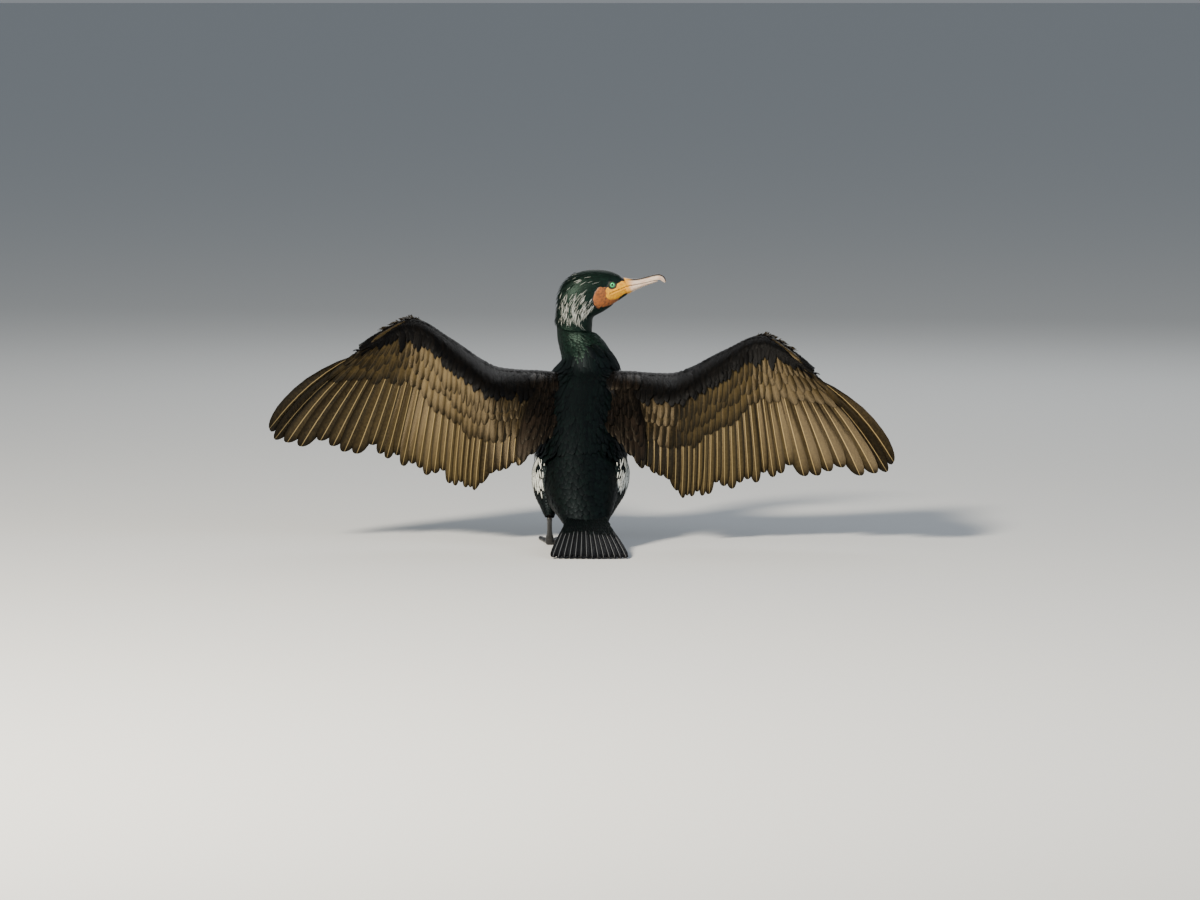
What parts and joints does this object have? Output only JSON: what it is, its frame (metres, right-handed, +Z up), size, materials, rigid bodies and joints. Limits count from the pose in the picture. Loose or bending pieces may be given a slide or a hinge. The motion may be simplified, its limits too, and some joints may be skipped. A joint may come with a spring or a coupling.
{
  "type": "great cormorant",
  "caption": "Large dark waterbird standing upright with both wings held open to dry, its head turned to its right and its tail resting on the ground.",
  "frame": {"origin": "on the ground under the middle of the bird's outer box", "axes": "+X towards the tip of the bird's right wing, +Y the way its breast faces, +Z up"},
  "size_m": [0.9354, 0.363, 0.4065],
  "materials": {
    "body_plumage": "glossy black feathers with a blue and green sheen",
    "wing_plumage": "bronze brown feathers with dark edges",
    "tail_plumage": "stiff blue-black feathers with pale shafts",
    "bill_horn": "smooth pale horn, darker along the ridge",
    "eye": "wet and glossy, green round a black pupil",
    "foot_skin": "black scaly skin",
    "claw_horn": "dark polished horn"
  },
  "bodies": {
    "root": {"torso": "body_plumage", "neck_lower": "body_plumage", "neck_upper": "body_plumage", "head": "body_plumage", "eye_right": "eye", "eye_left": "eye", "bill_upper": "bill_horn", "bill_lower": "bill_horn", "wing_right_arm": "body_plumage", "wing_right_forearm": "wing_plumage", "wing_right_hand": "wing_plumage", "wing_left_arm": "body_plumage", "wing_left_forearm": "wing_plumage", "wing_left_hand": "wing_plumage", "tail": "tail_plumage", "thigh_right": "body_plumage", "tarsus_right": "foot_skin", "foot_right": "foot_skin", "claw_right_inner_back": "claw_horn", "claw_right_inner": "claw_horn", "claw_right_middle": "claw_horn", "claw_right_outer": "claw_horn", "thigh_left": "body_plumage", "tarsus_left": "foot_skin", "foot_left": "foot_skin", "claw_left_inner_back": "claw_horn", "claw_left_inner": "claw_horn", "claw_left_middle": "claw_horn", "claw_left_outer": "claw_horn"}
  },
  "joints": []
}
